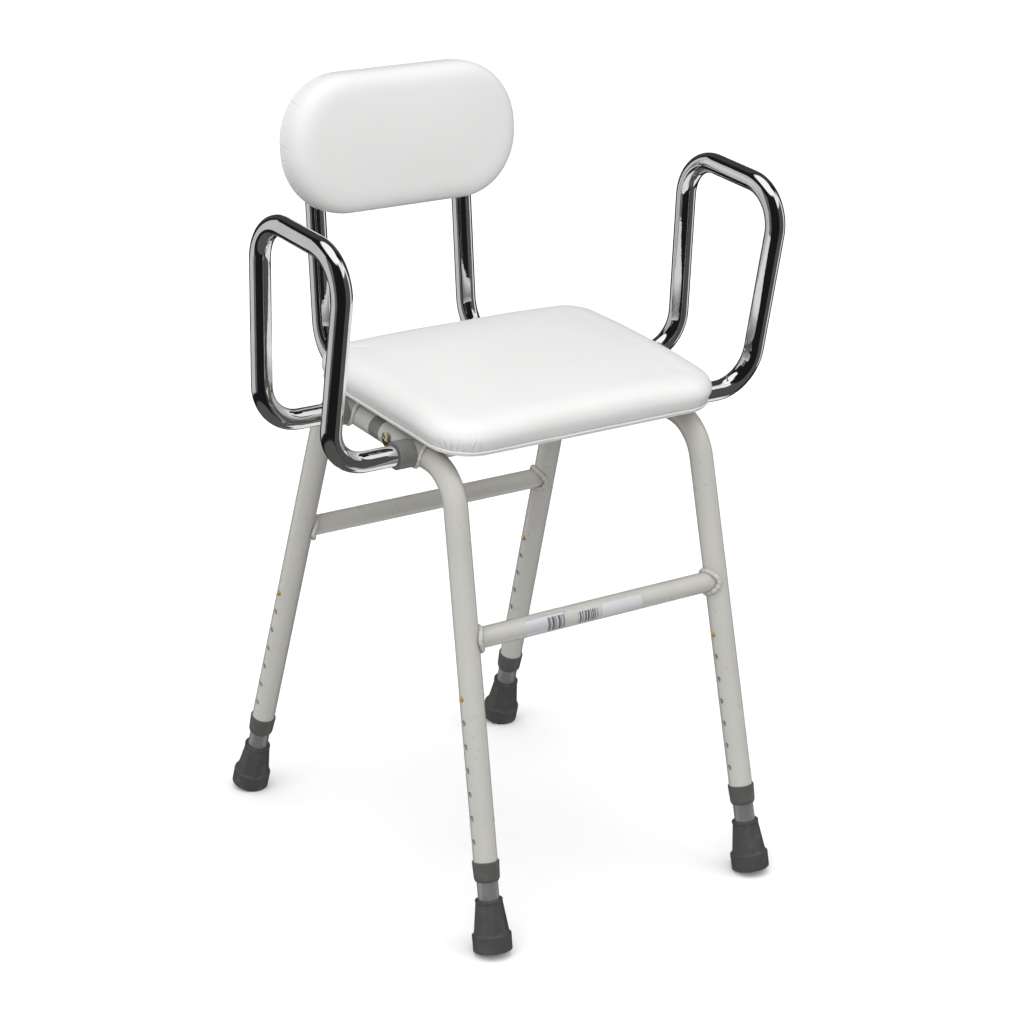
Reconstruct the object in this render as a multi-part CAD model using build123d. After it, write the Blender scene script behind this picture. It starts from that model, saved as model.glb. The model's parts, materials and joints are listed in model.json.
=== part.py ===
"""Height-adjustable perching stool for the shower: padded seat and back, plug-in chrome arms.

Millimetres, +Z up, the stool faces -Y, and "left" is the sitter's left (+X).
The origin is on the floor below the middle of the stool.
"""

from build123d import *
import math
import os

os.makedirs("parts", exist_ok=True)

# ---------------------------------------------------------------- driving dimensions
TUBE_OD = 25.4          # painted frame tube
TUBE_ID = 22.4
SLIDE_OD = 22.25        # tube that slides inside a frame tube
SLIDE_ID = 19.25
STRETCHER_OD = 22.2
WELD_GAP = 0.03         # between a coped tube end and the tube it is welded to
PRESS_GAP = 0.02        # between pieces pushed together for good
RUN_GAP = 0.075         # radial clearance of a piece that slides
SEAM_TURN = 35          # degrees, how far a tube's seam is turned from its plane's own X

SEAT_TILT = 4.4         # degrees, front edge low
SEAT_AXIS_Z = 503.9     # height of the plane of the cross tubes' axes at Y = 0

# where the straight leg axes meet the floor, and where they turn into the seat frame
FOOT_X = {"front": 174.2, "rear": 177.6}
FOOT_Y = {"front": -241.0, "rear": 240.9}
LEG_TOP_Y = {"front": -126.7, "rear": 106.6}
LEG_BEND_R = 52.0
CROSS_Y = {"front": -72.4, "rear": 53.4}
CROSS_HALF = 191.0
STRETCHER_Z = {"front": 321.0, "rear": 343.3}

# height adjustment, all measured up a leg axis from the floor
HOLE_PITCH = 25.0
HOLE_COUNT = 7
BUTTON_AT = 271.3
LEG_END_AT = 82.0
EXTENSION_TOP_AT = 300.0
HOLE_R = 3.1
BUTTON_R = 3.0
BUTTON_PROUD = 2.4

# rubber ferrule and the grey collar round the end of each leg
FERRULE_R = 20.5
FERRULE_LENGTH = 55.0
FERRULE_RING = 18.0
FERRULE_TOP_R = 14.5
FLOOR_SQUASH = 0.9      # how much the tilted rubber flattens where it stands
COLLAR_R = 14.3
COLLAR_TOP_AT = 99.5
COLLAR_LOW_AT = 78.5

# seat
PAD_HALF_X = 179.0
PAD_FRONT_Y = -151.0
PAD_REAR_Y = 120.0
PAD_CORNER_R = 46.0
PAD_BASE_H = 17.0       # heights above the plane of the cross tubes' axes
PAD_TOP_H = 57.0
BOARD_INSET = 17.0       # the padding overhangs the board by this much
BOARD_T = 12.0

# armrests
ARM_LOW_X = 274.0
ARM_LEAN = 0.0163       # outward lean of the loop, per unit of height
ARM_TOP_Z = 729.7
ARM_TOP_SLOPE = 0.0755
ARM_FRONT_LEAN = 0.1512
ARM_LOW_R = 45.0
ARM_HIGH_R = 45.0
ARM_INNER_X = 96.0
ARM_COLLAR_R = 15.0
ARM_COLLAR_X = (175.0, 195.0)

# backrest
BACK_TUBE_X = 96.7
BACK_CORNER_Y = 213.6
BACK_LEAN = 6.8         # degrees
BACK_BEND_R = 51.0
BACK_TUBE_TOP = 284.0   # along the leaning tube from the corner
BACK_TUBE_END_Y = 78.0
SOCKET_END_Y = 144.0
BACK_PAD_MID = 240.5
BACK_PAD_HALF = 145.0
BACK_PAD_HIGH = 150.0
BACK_PAD_T = 44.5
BACK_BOARD_T = 10.0

# side rails, which run on from the bent leg tubes and meet at a bush
RAIL_X = 159.0
RAIL_DROP = 4.5         # how far the rails' axes lie below the cross tubes' axes
BUSH_Y = (-8.0, 10.5)
SPIGOT_Y = (-42.0, 38.0)
RAIL_SCREW_Y = -24.0
RAIL_SCREW_R = 2.5
RAIL_SCREW_HEAD_R = 8.0

SIDES = {"left": 1, "right": -1}
ENDS = ("front", "rear")

TILT = math.radians(SEAT_TILT)
LEAN = math.radians(BACK_LEAN)


# ---------------------------------------------------------------- helpers
def seat_z(y):
    """Height of the plane of the cross tubes' axes at y."""
    return SEAT_AXIS_Z + y * math.tan(TILT)


def rail_point(side, y, outwards=0):
    """Point on the axis of a side rail, or this far outwards from it."""
    return Vector(SIDES[side] * (RAIL_X + outwards), y, seat_z(y) - RAIL_DROP)


def square_to(start, way):
    """Plane square to a tube, turned so that the tube's seam line lies clear of its cross holes."""
    plain = Plane(start, z_dir=way)
    turn = math.radians(SEAM_TURN)
    seam = plain.x_dir * math.cos(turn) + plain.y_dir * math.sin(turn)
    return Plane(start, x_dir=seam, z_dir=way)


def rod(start, end, radius):
    """Solid round bar between two points."""
    start, end = Vector(*start), Vector(*end)
    run = end - start
    return extrude(square_to(start, run) * Circle(radius), run.length)


def pipe(start, end, outer, inner):
    """Round tube between two points."""
    start, end = Vector(*start), Vector(*end)
    run = end - start
    return extrude(square_to(start, run) * (Circle(outer) - Circle(inner)), run.length)


def bent_tube(points, bend_radii, outer, inner):
    """Round tube along straight runs joined by tangent arcs."""
    points = [Vector(*p) for p in points]
    section = Circle(outer) - Circle(inner) if inner else Circle(outer)
    start, pieces = points[0], []
    for i, radius in enumerate(bend_radii, start=1):
        arrive = (points[i] - points[i - 1]).normalized()
        leave = (points[i + 1] - points[i]).normalized()
        turn = math.radians(arrive.get_angle(leave))
        tangent = radius * math.tan(turn / 2)
        bend_start = points[i] - arrive * tangent
        axis = arrive.cross(leave).normalized()
        centre = bend_start + axis.cross(arrive) * radius
        pieces.append(extrude(square_to(start, arrive) * section, (bend_start - start).length))
        face = square_to(bend_start, arrive) * section
        pieces.append(revolve(face, Axis(centre, axis), math.degrees(turn)))
        start = points[i] + leave * tangent
    run = points[-1] - start
    pieces.append(extrude(square_to(start, run) * section, run.length))
    tube = pieces[0]
    for piece in pieces[1:]:
        tube += piece
    return tube


def save(name, shape):
    """Write one named node."""
    export_step(shape, f"parts/{name}.step")


def seat_plane(height):
    """Plane parallel to the seat, this far above the cross tubes' axes, local X = X and Y = rearwards."""
    up = Vector(0, -math.sin(TILT), math.cos(TILT))
    return Plane(Vector(0, 0, SEAT_AXIS_Z) + up * height, x_dir=(1, 0, 0), z_dir=up)


# ---------------------------------------------------------------- legs
def leg_frame(end, side):
    """Foot point, unit vector up the leg, and unit vector outwards across it."""
    s = SIDES[side]
    foot = Vector(s * FOOT_X[end], FOOT_Y[end], 0)
    top = rail_point(side, LEG_TOP_Y[end])
    up = (top - foot).normalized()
    out = Vector(s, 0, 0)
    out = (out - up * out.dot(up)).normalized()
    return foot, top, up, out


def leg_point(end, side, at):
    foot, _, up, _ = leg_frame(end, side)
    return foot + up * at


def leg_tube(end, side):
    """Outer leg tube, bent over at the top to run on as half of the side rail."""
    _, top, up, out = leg_frame(end, side)
    low = leg_point(end, side, LEG_END_AT)
    rail_end = rail_point(side, BUSH_Y[ENDS.index(end)])
    tube = bent_tube([low, top, rail_end], [LEG_BEND_R], TUBE_OD / 2, TUBE_ID / 2)
    tube -= cross_bar(end, TUBE_OD / 2 + WELD_GAP)
    if end == "front":
        tube -= rail_screw_bar(side, RAIL_SCREW_R + 0.1, 0, 20)
    for i in range(HOLE_COUNT):
        mid = leg_point(end, side, BUTTON_AT - i * HOLE_PITCH)
        tube -= rod(mid - out * TUBE_OD, mid + out * TUBE_OD, HOLE_R)
    return tube


def cross_bar(end, radius):
    """Solid bar on the axis of a cross tube, used to cope what is welded to it."""
    y = CROSS_Y[end]
    return rod((-CROSS_HALF - 10, y, seat_z(y)), (CROSS_HALF + 10, y, seat_z(y)), radius)


def leg_collar(end, side):
    """Grey plastic guide pushed over the end of the leg tube."""
    _, _, up, _ = leg_frame(end, side)
    base = Plane(leg_point(end, side, COLLAR_LOW_AT), z_dir=up)
    high = COLLAR_TOP_AT - COLLAR_LOW_AT
    lip = LEG_END_AT - COLLAR_LOW_AT
    bore = SLIDE_OD / 2 + RUN_GAP
    seat = TUBE_OD / 2 + PRESS_GAP
    outline = [
        (bore, 0), (12.4, 0), (COLLAR_R - 0.8, 2.6), (COLLAR_R, high - 0.8),
        (COLLAR_R - 0.6, high), (seat, high), (seat, lip - PRESS_GAP), (bore, lip - PRESS_GAP),
    ]
    section = base * Plane.XZ * make_face(Polyline(*outline, close=True))
    return revolve(section, Axis(base.origin, base.z_dir), 360)


def extension_start(end, side):
    """Where the bottom of the ferrule crosses the leg axis, so that its low edge is squashed flat."""
    _, _, up, _ = leg_frame(end, side)
    drop = FERRULE_R * math.sqrt(1 - up.Z ** 2)
    return (drop - FLOOR_SQUASH) / up.Z


FERRULE_FLOOR = 9.0     # rubber below the washer
WASHER_T = 1.6


def leg_extension(end, side):
    """Plain tube that slides in the leg, with one cross hole for the two snap buttons."""
    low = extension_start(end, side) + FERRULE_FLOOR + WASHER_T
    start, finish = leg_point(end, side, low), leg_point(end, side, EXTENSION_TOP_AT)
    _, _, _, out = leg_frame(end, side)
    mid = leg_point(end, side, BUTTON_AT)
    tube = pipe(start, finish, SLIDE_OD / 2, SLIDE_ID / 2)
    return tube - rod(mid - out * TUBE_OD, mid + out * TUBE_OD, HOLE_R)


def ferrule(end, side):
    """Rubber foot: round base ring, eight-sided waist and round mouth, flattened on the floor."""
    _, _, up, out = leg_frame(end, side)
    low = extension_start(end, side)
    base = Plane(leg_point(end, side, low), x_dir=out, z_dir=up)
    profile = [
        (0, 0), (FERRULE_R - 0.8, 0), (FERRULE_R, 0.8), (FERRULE_R + 0.2, FERRULE_RING - 0.6),
        (FERRULE_R - 0.5, FERRULE_RING), (FERRULE_TOP_R, FERRULE_RING + 5.5),
        (FERRULE_TOP_R - 0.6, FERRULE_LENGTH - 4), (FERRULE_TOP_R, FERRULE_LENGTH - 3),
        (FERRULE_TOP_R, FERRULE_LENGTH - 0.7), (FERRULE_TOP_R - 0.7, FERRULE_LENGTH), (0, FERRULE_LENGTH),
    ]
    body = revolve(base * Plane.XZ * make_face(Polyline(*profile, close=True)), Axis(base.origin, up), 360)
    waist_low = base.offset(FERRULE_RING) * RegularPolygon(FERRULE_R - 1.4, 8, rotation=22.5)
    waist_high = base.offset(FERRULE_LENGTH - 3.5) * RegularPolygon(FERRULE_TOP_R, 8, rotation=22.5)
    body += loft([waist_low, waist_high])
    bore_start = leg_point(end, side, low + FERRULE_FLOOR)
    bore_end = leg_point(end, side, low + FERRULE_LENGTH + 1)
    body -= rod(bore_start, bore_end, SLIDE_OD / 2 + PRESS_GAP)
    below = Box(120, 120, 40, align=(Align.CENTER, Align.CENTER, Align.MAX))
    foot = leg_frame(end, side)[0]
    return body - Pos(foot.X, foot.Y, 0) * below


def ferrule_washer(end, side):
    """Steel disc that keeps the tube from cutting through the rubber."""
    low = extension_start(end, side) + FERRULE_FLOOR
    start, finish = leg_point(end, side, low), leg_point(end, side, low + WASHER_T)
    return rod(start, finish, SLIDE_OD / 2 - 0.2)


FLANGE_X = 8.7          # outer face of a button's flange, from the leg axis
FLANGE_R = 3.9
FLANGE_T = 1.0


def turned(origin, axis, outline):
    """Solid of revolution; outline holds (radius, distance along the axis) points and curves between them."""
    base = Plane(origin, z_dir=axis)
    return revolve(base * Plane.XZ * make_face(outline), Axis(base.origin, base.z_dir), 360)


def domed_outline(points, dome_height):
    """Closed outline from the axis through the points to a domed tip of the last point's radius."""
    radius, shoulder = points[-1]
    tip = shoulder + dome_height
    sphere_r = (radius ** 2 + dome_height ** 2) / (2 * dome_height)
    middle = math.asin(radius / sphere_r) / 2
    halfway = (sphere_r * math.sin(middle), tip - sphere_r + sphere_r * math.cos(middle))
    sides = Polyline((0, points[0][1]), *points)
    return sides + ThreePointArc((radius, shoulder), halfway, (0, tip)) + Line((0, tip), (0, points[0][1]))


def snap_button(end, side, sign):
    """Domed brass button with a flange that stops against the inside of the extension."""
    _, _, _, out = leg_frame(end, side)
    dome_height = BUTTON_R * 0.75
    shoulder = TUBE_OD / 2 + BUTTON_PROUD - dome_height
    low = FLANGE_X - FLANGE_T
    points = [(FLANGE_R, low), (FLANGE_R, FLANGE_X), (BUTTON_R, FLANGE_X), (BUTTON_R, shoulder)]
    return turned(leg_point(end, side, BUTTON_AT), out * sign, domed_outline(points, dome_height))


def button_spring(end, side):
    """Bent leaf spring that pushes both buttons outwards."""
    _, _, up, out = leg_frame(end, side)
    width, thick, length = 7.0, 0.6, 42.0
    reach = FLANGE_X - FLANGE_T - 0.05
    bow = 3.0
    face = Plane(leg_point(end, side, BUTTON_AT), x_dir=out, z_dir=out.cross(up))
    outer = [
        (reach, 4), (reach, -4), (bow, 4 - length), (-bow, 4 - length), (-reach, -4), (-reach, 4),
    ]
    inner = [
        (-reach + thick, 4), (-reach + thick, -4), (-bow + thick, 4 - length + thick),
        (bow - thick, 4 - length + thick), (reach - thick, -4), (reach - thick, 4),
    ]
    section = face * make_face(Polyline(*outer, *inner, close=True))
    return extrude(section, width / 2, both=True)


# ---------------------------------------------------------------- seat frame
def stretcher(end):
    """Cross bar between two legs, coped onto both."""
    z = STRETCHER_Z[end]
    foot, top, _, _ = leg_frame(end, "left")
    share = z / top.Z
    y = foot.Y + (top.Y - foot.Y) * share
    x = foot.X + (top.X - foot.X) * share
    bar = pipe((-x, y, z), (x, y, z), STRETCHER_OD / 2, STRETCHER_OD / 2 - 1.5)
    for side in SIDES:
        foot, top, _, _ = leg_frame(end, side)
        bar -= rod(foot, top, TUBE_OD / 2 + WELD_GAP)
    return bar


SEAT_SCREW_X = 52.0


def cross_tube(end):
    """Tube across the seat frame; its open ends take the arms."""
    y = CROSS_Y[end]
    tube = pipe((-CROSS_HALF, y, seat_z(y)), (CROSS_HALF, y, seat_z(y)), TUBE_OD / 2, TUBE_ID / 2)
    for s in SIDES.values():
        tube -= seat_screw_bar(s * SEAT_SCREW_X, y, 2.6, -20, 20)
    return tube


def seat_screw_bar(x, y, radius, low, high):
    """Bar square to the seat through (x, y) on the seat frame, between two heights."""
    up = Vector(0, -math.sin(TILT), math.cos(TILT))
    mid = Vector(x, y, seat_z(y))
    return rod(mid + up * low, mid + up * high, radius)


def rail_screw_bar(side, radius, near, far):
    """Bar across the rail at the locking screw, outwards from the rail axis."""
    return rod(rail_point(side, RAIL_SCREW_Y, near), rail_point(side, RAIL_SCREW_Y, far), radius)


def rail_spigot(side):
    """Inner tube that joins the front and rear rails."""
    front, rear = (rail_point(side, y) for y in SPIGOT_Y)
    tube = pipe(front, rear, TUBE_ID / 2 - PRESS_GAP, TUBE_ID / 2 - 2.5)
    return tube - rail_screw_bar(side, RAIL_SCREW_R + 0.1, 0, 20)


def rail_bush(side):
    """Grey plastic ring between the two rail ends."""
    front, rear = (rail_point(side, y) for y in BUSH_Y)
    return pipe(front, rear, TUBE_OD / 2, TUBE_ID / 2)


def rail_screw(side):
    """Cross-recessed truss-head screw that locks the rail joint."""
    s = SIDES[side]
    head_low, shank_low, dome_height = TUBE_OD / 2 + 0.1, 7.5, 2.8
    rim = head_low + 0.6
    points = [
        (RAIL_SCREW_R, shank_low), (RAIL_SCREW_R, head_low),
        (RAIL_SCREW_HEAD_R, head_low), (RAIL_SCREW_HEAD_R, rim),
    ]
    screw = turned(rail_point(side, RAIL_SCREW_Y), Vector(s, 0, 0), domed_outline(points, dome_height))
    tip = rail_point(side, RAIL_SCREW_Y, rim + dome_height)
    for angle in (20, 110):
        screw -= Pos(tip) * Rot(X=angle) * Box(3.2, 8, 1.5)
    return screw


def arm_collar(end, side):
    """Grey plastic cap over the open end of a cross tube, guiding the arm."""
    s, y = SIDES[side], CROSS_Y[end]
    inner, outer = ARM_COLLAR_X
    lip = CROSS_HALF + PRESS_GAP
    bore = SLIDE_OD / 2 + RUN_GAP
    seat = TUBE_OD / 2 + PRESS_GAP
    outline = [
        (seat, inner), (ARM_COLLAR_R - 0.8, inner), (ARM_COLLAR_R, inner + 0.8),
        (ARM_COLLAR_R, outer - 1.2), (ARM_COLLAR_R - 1.2, outer), (bore, outer), (bore, lip), (seat, lip),
    ]
    base = Plane(Vector(0, y, seat_z(y)), x_dir=(0, 1, 0), z_dir=(s, 0, 0))
    section = base * Plane.XZ * make_face(Polyline(*outline, close=True))
    return revolve(section, Axis(base.origin, base.z_dir), 360)


# ---------------------------------------------------------------- seat
def seat_outline(inset):
    """Rounded rectangle of the seat, on the plane it is multiplied by."""
    length = (PAD_REAR_Y - PAD_FRONT_Y) / math.cos(TILT)
    mid = (PAD_REAR_Y + PAD_FRONT_Y) / 2 / math.cos(TILT)
    return Pos(0, mid) * RectangleRounded(
        2 * (PAD_HALF_X - inset), length - 2 * inset, PAD_CORNER_R - inset
    )


SEAT_SCREW_R = 2.5


def seat_board():
    """Plywood base on top of the seat frame."""
    low = TUBE_OD / 2 + 0.05
    board = extrude(seat_plane(low) * seat_outline(BOARD_INSET), BOARD_T)
    for end in ENDS:
        for s in SIDES.values():
            board -= seat_screw_bar(s * SEAT_SCREW_X, CROSS_Y[end], SEAT_SCREW_R + 0.01, 0, low + 10)
    return board


def seat_pad():
    """Foam and vinyl cover, hollowed to take the board."""
    board_top = TUBE_OD / 2 + 0.05 + BOARD_T
    pad = extrude(seat_plane(PAD_BASE_H) * seat_outline(0), PAD_TOP_H - PAD_BASE_H)
    pad = fillet(pad.faces().sort_by(Axis.Z)[-1].edges(), 20)
    return pad - extrude(seat_plane(PAD_BASE_H - 5) * seat_outline(BOARD_INSET - 0.2), board_top - PAD_BASE_H + 5)


def seat_screws():
    """Pan-head screws up through the cross tubes into the board."""
    screws = []
    for end in ENDS:
        for s in SIDES.values():
            x, y = s * SEAT_SCREW_X, CROSS_Y[end]
            screw = seat_screw_bar(x, y, 4.6, -TUBE_OD / 2 - 2.9, -TUBE_OD / 2 - 0.1)
            screw += seat_screw_bar(x, y, SEAT_SCREW_R, -TUBE_OD / 2 - 0.2, TUBE_OD / 2 + 9)
            screws.append(screw)
    return Compound(children=screws)


# ---------------------------------------------------------------- armrests
def arm_top_z(y):
    return ARM_TOP_Z + y * ARM_TOP_SLOPE


def armrest(side):
    """One chrome tube: stub, front upright, top bar, rear upright, stub."""
    s = SIDES[side]
    front_y, rear_y = CROSS_Y["front"], CROSS_Y["rear"]
    front_z, rear_z = seat_z(front_y), seat_z(rear_y)
    # the front upright leans forwards until it meets the line of the top bar
    top_front_z = (ARM_TOP_Z + (front_y + front_z * ARM_FRONT_LEAN) * ARM_TOP_SLOPE)
    top_front_z /= 1 + ARM_FRONT_LEAN * ARM_TOP_SLOPE
    top_front_y = front_y - (top_front_z - front_z) * ARM_FRONT_LEAN
    top_rear_z = arm_top_z(rear_y)

    def loop_x(z):
        return s * (ARM_LOW_X + (z - SEAT_AXIS_Z) * ARM_LEAN)

    points = [
        (s * ARM_INNER_X, front_y, front_z),
        (loop_x(front_z), front_y, front_z),
        (loop_x(top_front_z), top_front_y, top_front_z),
        (loop_x(top_rear_z), rear_y, top_rear_z),
        (loop_x(rear_z), rear_y, rear_z),
        (s * ARM_INNER_X, rear_y, rear_z),
    ]
    radii = [ARM_LOW_R, ARM_HIGH_R, ARM_HIGH_R, ARM_LOW_R]
    return bent_tube(points, radii, SLIDE_OD / 2, SLIDE_ID / 2)


# ---------------------------------------------------------------- backrest
def back_point(x, along, forward):
    """Point on the leaning back: up the tubes from their corner, and forwards of their axes."""
    z0 = seat_z(CROSS_Y["rear"])
    y = BACK_CORNER_Y + along * math.sin(LEAN) - forward * math.cos(LEAN)
    return Vector(x, y, z0 + along * math.cos(LEAN) + forward * math.sin(LEAN))


def back_plane(forward):
    """Plane facing forwards at the middle of the back pad, local Y up the back."""
    face = Vector(0, -math.cos(LEAN), math.sin(LEAN))
    return Plane(back_point(0, BACK_PAD_MID, forward), x_dir=(1, 0, 0), z_dir=face)


BACK_SCREW_AT = (BACK_PAD_MID - 34, BACK_PAD_MID + 14)
BACK_SCREW_R = 2.5


def back_screw_bar(x, along, radius, start, finish):
    return rod(back_point(x, along, start), back_point(x, along, finish), radius)


def backrest_tube(side):
    """Chrome tube from the socket, rearwards, then up the back."""
    x = SIDES[side] * BACK_TUBE_X
    z0 = seat_z(CROSS_Y["rear"])
    points = [(x, BACK_TUBE_END_Y, z0), (x, BACK_CORNER_Y, z0), back_point(x, BACK_TUBE_TOP, 0)]
    tube = bent_tube(points, [BACK_BEND_R], SLIDE_OD / 2, SLIDE_ID / 2)
    for along in BACK_SCREW_AT:
        tube -= back_screw_bar(x, along, BACK_SCREW_R + 0.1, -20, 20)
    return tube


def backrest_socket(side):
    """Short tube welded to the back of the rear cross tube."""
    x = SIDES[side] * BACK_TUBE_X
    y, z = CROSS_Y["rear"], seat_z(CROSS_Y["rear"])
    tube = pipe((x, y, z), (x, SOCKET_END_Y, z), TUBE_OD / 2, TUBE_ID / 2)
    tube -= cross_bar("rear", TUBE_OD / 2 + WELD_GAP)
    return tube - socket_screw_bar(side, 3.05, 0, 30)


SOCKET_SCREW_Y = 118.0


def socket_screw_bar(side, radius, near, far):
    """Bar straight down from the socket axis, between two depths."""
    x, z = SIDES[side] * BACK_TUBE_X, seat_z(CROSS_Y["rear"])
    return rod((x, SOCKET_SCREW_Y, z - near), (x, SOCKET_SCREW_Y, z - far), radius)


def clamp_screw(side):
    """Hexagon-head screw that grips the backrest tube in its socket."""
    x, z = SIDES[side] * BACK_TUBE_X, seat_z(CROSS_Y["rear"])
    screw = socket_screw_bar(side, 3.0, SLIDE_OD / 2 + 0.1, 20)
    head = Pos(x, SOCKET_SCREW_Y, z - 20) * extrude(RegularPolygon(5.8, 6), -4)
    return screw + head


def tube_plug(side):
    """Plastic plug in the top of a backrest tube."""
    x = SIDES[side] * BACK_TUBE_X
    plug = back_rod(x, BACK_TUBE_TOP - 14, BACK_TUBE_TOP, SLIDE_ID / 2 - PRESS_GAP)
    return plug + back_rod(x, BACK_TUBE_TOP, BACK_TUBE_TOP + 2, SLIDE_OD / 2)


def back_rod(x, start, finish, radius):
    return rod(back_point(x, start, 0), back_point(x, finish, 0), radius)


def back_outline(inset):
    """Stadium shape of the back."""
    return SlotOverall(2 * (BACK_PAD_HALF - inset), BACK_PAD_HIGH - 2 * inset)


BACK_BOARD_START = SLIDE_OD / 2 + 0.05


def back_board():
    """Plywood board screwed to the front of the backrest tubes."""
    board = extrude(back_plane(BACK_BOARD_START) * back_outline(5), BACK_BOARD_T)
    for s in SIDES.values():
        for along in BACK_SCREW_AT:
            board -= back_screw_bar(s * BACK_TUBE_X, along, BACK_SCREW_R + 0.01, 0, BACK_BOARD_START + 8)
    return board


def back_pad():
    """Foam and vinyl cover of the back, hollowed to take the board."""
    start = SLIDE_OD / 2 + 0.3
    pad = extrude(back_plane(start) * back_outline(0), BACK_PAD_T)
    pad = fillet(pad.faces().sort_by(Axis.Y)[0].edges(), 18)
    pocket = BACK_BOARD_START + BACK_BOARD_T - start
    return pad - extrude(back_plane(start - 5) * back_outline(4.8), pocket + 5)


def back_screws():
    """Screws through the backrest tubes into the board."""
    screws = []
    for s in SIDES.values():
        for along in BACK_SCREW_AT:
            x = s * BACK_TUBE_X
            screw = back_screw_bar(x, along, 4.6, -SLIDE_OD / 2 - 2.9, -SLIDE_OD / 2 - 0.1)
            screw += back_screw_bar(x, along, BACK_SCREW_R, -SLIDE_OD / 2 - 0.2, BACK_BOARD_START + 7)
            screws.append(screw)
    return Compound(children=screws)


# ---------------------------------------------------------------- write every node
for end in ENDS:
    for side in SIDES:
        spot = f"{end}_{side}"
        save(f"leg_tube_{spot}", leg_tube(end, side))
        save(f"leg_collar_{spot}", leg_collar(end, side))
        save(f"leg_extension_{spot}", leg_extension(end, side))
        save(f"ferrule_{spot}", ferrule(end, side))
        save(f"ferrule_washer_{spot}", ferrule_washer(end, side))
        save(f"button_spring_{spot}", button_spring(end, side))
        save(f"button_outer_{spot}", snap_button(end, side, 1))
        save(f"button_inner_{spot}", snap_button(end, side, -1))
    save(f"stretcher_{end}", stretcher(end))
    save(f"cross_tube_{end}", cross_tube(end))
    save(f"arm_collars_{end}", Compound(children=[arm_collar(end, side) for side in SIDES]))

for side in SIDES:
    save(f"armrest_{side}", armrest(side))
    save(f"backrest_socket_{side}", backrest_socket(side))
    save(f"backrest_tube_{side}", backrest_tube(side))

save("rail_spigots", Compound(children=[rail_spigot(side) for side in SIDES]))
save("rail_bushes", Compound(children=[rail_bush(side) for side in SIDES]))
save("rail_screws", Compound(children=[rail_screw(side) for side in SIDES]))
save("seat_board", seat_board())
save("seat_pad", seat_pad())
save("seat_screws", seat_screws())
save("backrest_clamp_screws", Compound(children=[clamp_screw(side) for side in SIDES]))
save("backrest_tube_plugs", Compound(children=[tube_plug(side) for side in SIDES]))
save("back_board", back_board())
save("back_pad", back_pad())
save("back_screws", back_screws())
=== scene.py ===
"""Looks of the height-adjustable shower chair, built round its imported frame. Metres, +Z up, front is -Y."""

import json
import math

import bpy
import numpy as np
from mathutils import Matrix, Vector


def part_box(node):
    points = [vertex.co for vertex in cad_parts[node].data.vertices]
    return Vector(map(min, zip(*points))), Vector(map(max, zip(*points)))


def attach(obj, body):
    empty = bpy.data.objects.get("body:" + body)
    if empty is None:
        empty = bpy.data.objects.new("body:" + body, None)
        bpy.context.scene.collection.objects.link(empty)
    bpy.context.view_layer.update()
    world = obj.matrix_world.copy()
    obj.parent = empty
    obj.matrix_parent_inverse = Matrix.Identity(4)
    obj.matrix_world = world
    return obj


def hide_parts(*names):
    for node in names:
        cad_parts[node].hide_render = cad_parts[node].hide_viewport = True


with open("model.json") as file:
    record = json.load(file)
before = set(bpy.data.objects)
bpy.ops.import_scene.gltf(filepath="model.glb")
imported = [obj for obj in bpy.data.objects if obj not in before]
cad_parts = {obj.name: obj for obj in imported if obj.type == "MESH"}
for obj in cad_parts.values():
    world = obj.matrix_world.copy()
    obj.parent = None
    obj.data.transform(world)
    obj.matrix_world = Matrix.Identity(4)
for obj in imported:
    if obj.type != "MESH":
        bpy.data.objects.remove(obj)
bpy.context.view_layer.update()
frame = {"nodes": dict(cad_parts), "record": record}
NODES = frame["nodes"]

SIDES = {"left": 1.0, "right": -1.0}
ENDS = ("front", "rear")
MM = 0.001
SCREW_DOME = 2.8 * MM               # height of the domed screw head on each side rail


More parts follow.
